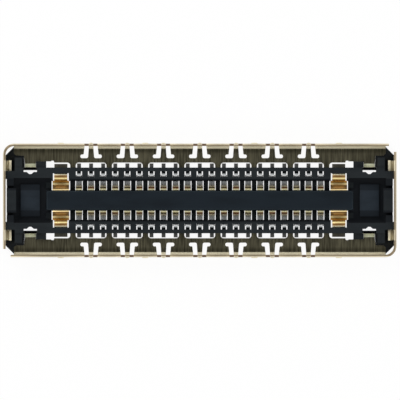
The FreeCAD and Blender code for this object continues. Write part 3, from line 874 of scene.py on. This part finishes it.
def pick_vertices(piece: Piece, wanted: Callable[[Vector], bool]) -> None:
    """Selects the vertices whose place passes a test, in edit mode.

    Args:
        piece: The piece that is being edited.
        wanted: Takes a vertex's place and says whether it is picked.
    """
    mesh = bmesh.from_edit_mesh(piece.data)
    for vertex in mesh.verts:
        vertex.select = wanted(piece.matrix_world @ vertex.co)
    mesh.select_flush_mode()
    bmesh.update_edit_mesh(piece.data)


def apply_modifier(piece: Piece, kind: str, **settings: object) -> None:
    """Adds a modifier to a piece, sets it up and applies it.

    Args:
        piece: The piece to change.
        kind: The modifier's type, such as BEVEL.
        **settings: Properties of the modifier, by name.
    """
    only(piece)
    modifier = piece.modifiers.new(kind.lower(), kind)
    for name, value in settings.items():
        setattr(modifier, name, value)
    bpy.ops.object.modifier_apply(modifier=modifier.name)


def round_edges(piece: Piece, width: float, angle: float, material: int = -1) -> None:
    """Rounds a piece's sharp edges.

    Args:
        piece: The piece to change.
        width: Width of the rounding.
        angle: Degrees above which an edge is rounded.
        material: Number of the rounding's material, or -1 to keep the faces' own.
    """
    apply_modifier(
        piece,
        "BEVEL",
        width=width,
        segments=EDGE_STEPS,
        limit_method="ANGLE",
        angle_limit=math.radians(angle),
        material=material,
    )


def smooth(piece: Piece, angle: float) -> None:
    """Shades a piece smooth, with edges sharper than an angle in degrees left sharp."""
    only(piece)
    bpy.ops.object.shade_smooth_by_angle(angle=math.radians(angle))


def hand_over(piece: Piece, node: str) -> None:
    """Lets a finished piece stand for a frame node on the root body.

    Args:
        piece: The finished piece.
        node: The frame's node that it replaces.
    """
    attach(piece, "root")
    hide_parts(node)
    log.info("%s: %d faces", piece.name, len(piece.data.polygons))


@dataclass
class FinishedSolid:
    """A piece finished from a frame solid: welded, flats joined, edges rounded.

    Attributes:
        node: The frame's node.
        name: The finished piece's name.
        plating: The record's slot; not used.
        finish: Finish of the faces.
        edge_finish: Finish of the rounded edges.
        edge: Width of the rounding.
        edge_angle: Degrees above which an edge is rounded.
        shade_angle: Degrees above which an edge is shaded sharp.
        flat_angle: Degrees under which neighbouring faces count as one plane.
        weld: Distance under which corners are merged.
        face_weight: How much large faces count in the shading, from 1 to 100.
    """

    node: str
    name: str
    plating: Plating
    finish: bpy.types.Material
    edge_finish: bpy.types.Material
    edge: float = 0.016 * MM
    edge_angle: float = 40.0
    shade_angle: float = 32.0
    flat_angle: float = 0.6
    weld: float = 0.0004 * MM
    face_weight: int = 90

    def build(self, nodes: dict[str, Piece]) -> None:
        """Makes the piece and hands it over.

        Args:
            nodes: The frame's nodes by name.
        """
        piece = add_object(self.name, nodes[self.node].data.copy())
        self.join_flats(piece)
        piece.data.materials.clear()
        piece.data.materials.append(self.finish)
        piece.data.materials.append(self.edge_finish)
        round_edges(piece, self.edge, self.edge_angle, material=1)
        smooth(piece, self.shade_angle)
        apply_modifier(piece, "WEIGHTED_NORMAL", keep_sharp=True, weight=self.face_weight)
        hand_over(piece, self.node)

    def join_flats(self, piece: Piece) -> None:
        """Welds the loose triangles and joins those that lie in one plane."""
        with editing(piece):
            bpy.ops.mesh.select_all(action="SELECT")
            bpy.ops.mesh.remove_doubles(threshold=self.weld)
            bpy.ops.mesh.dissolve_limited(angle_limit=math.radians(self.flat_angle))


@dataclass(frozen=True)
class Bend:
    """A corner of a strip's centre line, seen along the row.

    Attributes:
        y: Distance from the connector's middle line.
        z: Height above the board.
        radius: Radius of the bend there, or 0 at the strip's ends.
    """

    y: float
    z: float
    radius: float = 0.0

    @property
    def point(self) -> Vector:
        """The corner's place in the plane across the row."""
        return Vector((0.0, self.y, self.z))


@dataclass(frozen=True)
class FormedContact:
    """A contact blanked from strip and bent to shape.

    Attributes:
        thickness: Thickness of the strip.
        tip_width: Width at the tip.
        route: The strip's centre line from the tail's end to the tip.
        steps: Where the strip narrows: a distance from the middle line and the width beyond.
        edge: Rounding of the strip's edges.
        edge_angle: Degrees above which an edge is rounded.
        shade_angle: Degrees above which an edge is shaded sharp.
        bend_step: Degrees that one face of a bend turns by.
        taper: Half of the length over which the strip narrows.
        cut_tolerance: Distance within which a cut takes an existing corner.
    """

    thickness: float
    tip_width: float
    route: tuple[Bend, ...]
    steps: tuple[Pair, ...]
    edge: float = 0.007 * MM
    edge_angle: float = 45.0
    shade_angle: float = 40.0
    bend_step: float = 18.0
    taper: float = 0.006 * MM
    cut_tolerance: float = 1e-8

    def model(self, name: str) -> Piece:
        """Bends the strip, narrows it and gives it its thickness.

        Args:
            name: Name of the contact that the others are copied from.

        Returns:
            The contact for the middle of the back row.
        """
        strip = self.start(name)
        with editing(strip):
            pick_vertices(strip, lambda place: place.y < strip.location.y)
            self.follow_route()
        for distance, width in self.steps:
            self.narrow(strip, distance, width)
        apply_modifier(
            strip, "SOLIDIFY", thickness=self.thickness, offset=0.0, use_even_offset=True
        )
        round_edges(strip, self.edge, self.edge_angle)
        only(strip)
        bpy.ops.object.transform_apply(location=True, rotation=True, scale=True)
        smooth(strip, self.shade_angle)
        return strip

    def start(self, name: str) -> Piece:
        """Lays the tail's flat run as a plane, from the tail's end to the first bend."""
        tail, first = self.route[:2]
        run = (tail.y - first.y) - self.reach(1)
        bpy.ops.object.select_all(action="DESELECT")
        bpy.ops.mesh.primitive_plane_add(size=1.0, location=(0.0, tail.y - run / 2, tail.z))
        strip = bpy.context.object
        strip.name = name
        strip.data.name = name
        with editing(strip):
            bpy.ops.mesh.select_all(action="SELECT")
            bpy.ops.transform.resize(value=(self.tip_width, run, 1.0))
        return strip

    def reach(self, number: int) -> float:
        """Length of the straight that a bend takes up on each side of its corner."""
        corner = self.route[number]
        return corner.radius * math.tan(abs(self.turn(number)) / 2) if corner.radius else 0.0

    def turn(self, number: int) -> float:
        """Angle that the strip turns by at a corner, right-handed about the row."""
        before, here, after = self.route[number - 1 : number + 2]
        into = here.point - before.point
        out = after.point - here.point
        return math.atan2(into.cross(out).x, into.dot(out))

    def follow_route(self) -> None:
        """Spins the free edge round each bend and extrudes it along each straight."""
        route = self.route
        for number in range(1, len(route) - 1):
            angle = self.turn(number)
            into = (route[number].point - route[number - 1].point).normalized()
            out = (route[number + 1].point - route[number].point).normalized()
            side = math.copysign(1.0, angle)
            towards = Vector((side, 0.0, 0.0)).cross(into)
            begin = route[number].point - into * self.reach(number)
            centre = begin + towards * route[number].radius
            bpy.ops.mesh.spin(
                steps=max(2, round(abs(angle) / math.radians(self.bend_step))),
                angle=abs(angle),
                center=centre,
                axis=(-side, 0.0, 0.0),
            )
            following = self.reach(number + 1) if number + 2 < len(route) else 0.0
            straight = (route[number + 1].point - route[number].point).length
            straight -= self.reach(number) + following
            bpy.ops.mesh.extrude_region_move(TRANSFORM_OT_translate={"value": out * straight})

    def narrow(self, strip: Piece, distance: float, width: float) -> None:
        """Cuts the strip across at a distance and narrows it from there to the tail.

        Args:
            strip: The bent strip.
            distance: Distance of the step from the middle line.
            width: Width beyond the step.
        """
        with editing(strip):
            for place in (distance - self.taper, distance + self.taper):
                bpy.ops.mesh.select_all(action="SELECT")
                bpy.ops.mesh.bisect(
                    plane_co=(0.0, place, 0.0),
                    plane_no=(0.0, 1.0, 0.0),
                    threshold=self.cut_tolerance,
                )
            bpy.ops.mesh.select_all(action="DESELECT")
            pick_vertices(strip, lambda place: place.y > distance)
            beyond = [v.co.x for v in bmesh.from_edit_mesh(strip.data).verts if v.select]
            bpy.ops.transform.resize(value=(width / 2 / max(beyond), 1.0, 1.0))

    def place(self, master: Piece, node: str, name: str, row: Row, plating: Plating) -> None:
        """Copies the master contact, with its own mesh, to a frame node's place.

        Args:
            master: The contact that is copied.
            node: The frame's node.
            name: The copy's name.
            row: The row that the node stands in.
            plating: The record's slot; not used.
        """
        low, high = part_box(node)
        piece = add_object(name, master.data.copy())
        along = Matrix.Translation(((low.x + high.x) / 2, 0.0, 0.0))
        piece.data.transform(along @ Matrix.Rotation(row.value, 4, "Z"))
        hand_over(piece, node)


def bends(*rows: tuple[float, ...]) -> tuple[Bend, ...]:
    """Makes a route from distances, heights and radii in millimetres."""
    return tuple(Bend(*(part * MM for part in row)) for row in rows)


SIGNAL_CONTACT = FormedContact(
    thickness=0.05 * MM,
    tip_width=0.185 * MM,
    route=bends(
        (1.072, 0.025),
        (0.867, 0.025, 0.05),
        (0.785, 0.445, 0.0396),
        (0.705, 0.445, 0.0396),
        (0.705, 0.075, 0.05),
        (0.345, 0.075, 0.05),
        (0.3347, 0.2025, 0.05),
        (0.385, 0.33, 0.04),
        (0.305, 0.42),
    ),
    steps=((0.435 * MM, 0.17 * MM), (0.730 * MM, 0.115 * MM)),
)
POWER_CONTACT = FormedContact(
    thickness=0.06 * MM,
    tip_width=0.478 * MM,
    route=bends(
        (1.058, 0.03),
        (0.812, 0.03, 0.06),
        (0.755, 0.46, 0.0545),
        (0.630, 0.46, 0.0545),
        (0.600, 0.09, 0.06),
        (0.40, 0.09, 0.06),
        (0.37, 0.215, 0.06),
        (0.43, 0.34, 0.06),
        (0.335, 0.405, 0.05),
        (0.306, 0.462),
    ),
    steps=((0.5625 * MM, 0.38 * MM),),
)


@dataclass
class ContactSet:
    """All contacts of one kind, in both rows.

    Attributes:
        contact: The contact that is modelled once and copied.
        prefix: The nodes' names up to the row.
        piece_word: The copies' names up to the row.
        plating: The record's slot.
        finish: The plating's finish.
    """

    contact: FormedContact
    prefix: str
    piece_word: str
    plating: Plating
    finish: Finish

    def build(self, nodes: dict[str, Piece]) -> None:
        """Models the contact and puts a copy in place of each node.

        Args:
            nodes: The frame's nodes by name.
        """
        master = self.contact.model(f"{self.piece_word}_master")
        master.data.materials.clear()
        master.data.materials.append(self.finish.material())
        for row in Row:
            stem = f"{self.prefix}_{row.word}_"
            for node in sorted(name for name in nodes if name.startswith(stem)):
                name = node.replace(self.prefix, self.piece_word)
                self.contact.place(master, node, name, row, self.plating)
        bpy.data.objects.remove(master)


@dataclass(frozen=True)
class Lamp:
    """A square soft lamp that faces the connector.

    Attributes:
        name: The lamp's name.
        place: The lamp's middle.
        side: The lamp's side length.
        power: The lamp's power in watts.
    """

    name: str
    place: tuple[float, float, float]
    side: float
    power: float

    def hang(self) -> None:
        """Puts the lamp in its place."""
        lamp = add_object(self.name, bpy.data.lights.new(self.name, "AREA"))
        lamp.data.size = self.side
        lamp.data.energy = self.power
        lamp.location = self.place
        lamp.rotation_euler = (-Vector(self.place)).to_track_quat("-Z", "Y").to_euler()


@dataclass
class Studio:
    """Pale floor, soft lights and a camera straight above the connector.

    Attributes:
        frame_width: Width of the picture at the connector's height.
        centre: The point under the picture's middle.
        lens: Focal length in millimetres, long enough to flatten the view.
        clip: Distances from the camera between which it sees.
        floor_size: Side of the square floor.
        floor_drop: How far the floor lies under the connector.
        floor_colour: Colour of the floor where it is lit.
        floor_glow: Strength of its own light to the eye.
        floor_share: How much that light counts beside what it scatters.
        sky: Strength of the world's diffuse light.
        overhead: Brightness of the patch above that flat metal mirrors.
        patch: Upward parts of a direction where the patch sets in and is full.
        lamps: The lamps.
    """

    frame_width: float = 11.594 * MM
    centre: Pair = (0.006 * MM, 0.012 * MM)
    lens: float = 1200.0
    clip: Pair = (0.001, 2.0)
    floor_size: float = 0.4
    floor_drop: float = 0.002 * MM
    floor_colour: Colour = (0.9, 0.9, 0.9, 1.0)
    floor_glow: float = 1.03
    floor_share: float = 0.88
    sky: float = 0.72
    overhead: float = 0.10
    patch: Pair = (0.90, 0.985)
    lamps: tuple[Lamp, ...] = (
        Lamp("key_lamp", (-0.05, 0.06, 0.07), side=0.06, power=0.016),
        Lamp("fill_lamp", (0.07, -0.05, 0.05), side=0.07, power=0.008),
    )

    def build(self) -> None:
        """Makes the floor, the world, the lamps and the camera."""
        self.lay_floor()
        self.light_world()
        for lamp in self.lamps:
            lamp.hang()
        self.set_camera()

    def seen_directly(self, graph: Graph) -> Socket:
        """1 for rays from the camera, and for those through mirrors and glass."""
        rays = graph.add("ShaderNodeLightPath").outputs
        mirrored = graph.calculate(
            "MAXIMUM", rays["Is Glossy Ray"], rays["Is Transmission Ray"]
        )
        return graph.calculate("MAXIMUM", rays["Is Camera Ray"], mirrored)

    def lay_floor(self) -> None:
        """Lays the pale floor, white to the eye but with a trace of the object's shadow."""
        bpy.ops.object.select_all(action="DESELECT")
        bpy.ops.mesh.primitive_plane_add(
            size=self.floor_size, location=(0.0, 0.0, -self.floor_drop)
        )
        floor = bpy.context.object
        floor.name = "pale_floor"
        made = bpy.data.materials.new("pale_floor")
        made.use_nodes = True
        graph = Graph(made.node_tree)
        output = graph.add("ShaderNodeOutputMaterial")
        matte = graph.add("ShaderNodeBsdfDiffuse")
        matte.inputs["Color"].default_value = self.floor_colour
        glow = graph.add("ShaderNodeEmission")
        glow.inputs["Color"].default_value = WHITE
        glow.inputs["Strength"].default_value = self.floor_glow
        share = graph.all_of(self.seen_directly(graph), self.floor_share)
        both = graph.mix_shaders(share, matte.outputs["BSDF"], glow.outputs["Emission"])
        graph.join(both, output.inputs["Surface"])
        floor.data.materials.append(made)

    def light_world(self) -> None:
        """Gives the world soft light, white to the eye, with a dim patch overhead in mirrors."""
        world = bpy.data.worlds.new("soft_tent")
        world.use_nodes = True
        bpy.context.scene.world = world
        graph = Graph(world.node_tree)
        output = graph.add("ShaderNodeOutputWorld")
        ambient = graph.add("ShaderNodeBackground")
        ambient.inputs["Color"].default_value = WHITE
        ambient.inputs["Strength"].default_value = self.sky
        tent = graph.add("ShaderNodeBackground")
        way = graph.split(graph.add("ShaderNodeTexCoord").outputs["Generated"])
        rays = graph.add("ShaderNodeLightPath").outputs
        patch = graph.all_of(graph.between(way[2], *self.patch), rays["Is Glossy Ray"])
        dim = scaled(WHITE, self.overhead)
        graph.join(graph.blend(patch, WHITE, dim), tent.inputs["Color"])
        both = graph.mix_shaders(
            self.seen_directly(graph), ambient.outputs["Background"], tent.outputs["Background"]
        )
        graph.join(both, output.inputs["Surface"])

    def set_camera(self) -> None:
        """Puts the camera straight above, with the back row at the picture's top."""
        camera = add_object("camera", bpy.data.cameras.new("camera"))
        camera.data.lens = self.lens
        distance = self.frame_width * self.lens / camera.data.sensor_width
        camera.location = (*self.centre, distance)
        camera.data.clip_start, camera.data.clip_end = self.clip
        bpy.context.scene.camera = camera


def main() -> None:
    """Builds the studio and every piece."""
    logging.basicConfig(level=logging.INFO, format="%(name)s %(message)s")
    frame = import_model()
    nodes = frame["nodes"]
    bpy.ops.object.select_all(action="DESELECT")
    Studio().build()
    resin = HOUSING_FINISH.material()
    housing = FinishedSolid(
        "housing", "moulded_housing", Plating.HOUSING, resin, resin, edge=0.010 * MM
    )
    housing.build(nodes)
    sheet = SHIELD_FINISH.material()
    sheared = SHEARED_FINISH.material()
    for row in Row:
        node = f"shield_shell_{row.word}"
        name = f"stamped_shell_{row.word}"
        FinishedSolid(node, name, Plating.SHIELD, sheet, sheared).build(nodes)
    signals = ContactSet(
        SIGNAL_CONTACT, "signal_contact", "signal_spring", Plating.SIGNAL, SIGNAL_FINISH
    )
    signals.build(nodes)
    powers = ContactSet(
        POWER_CONTACT, "power_contact", "power_spring", Plating.POWER, POWER_FINISH
    )
    powers.build(nodes)
    bpy.context.scene.view_settings.view_transform = "Standard"


if __name__ == "__main__":
    main()
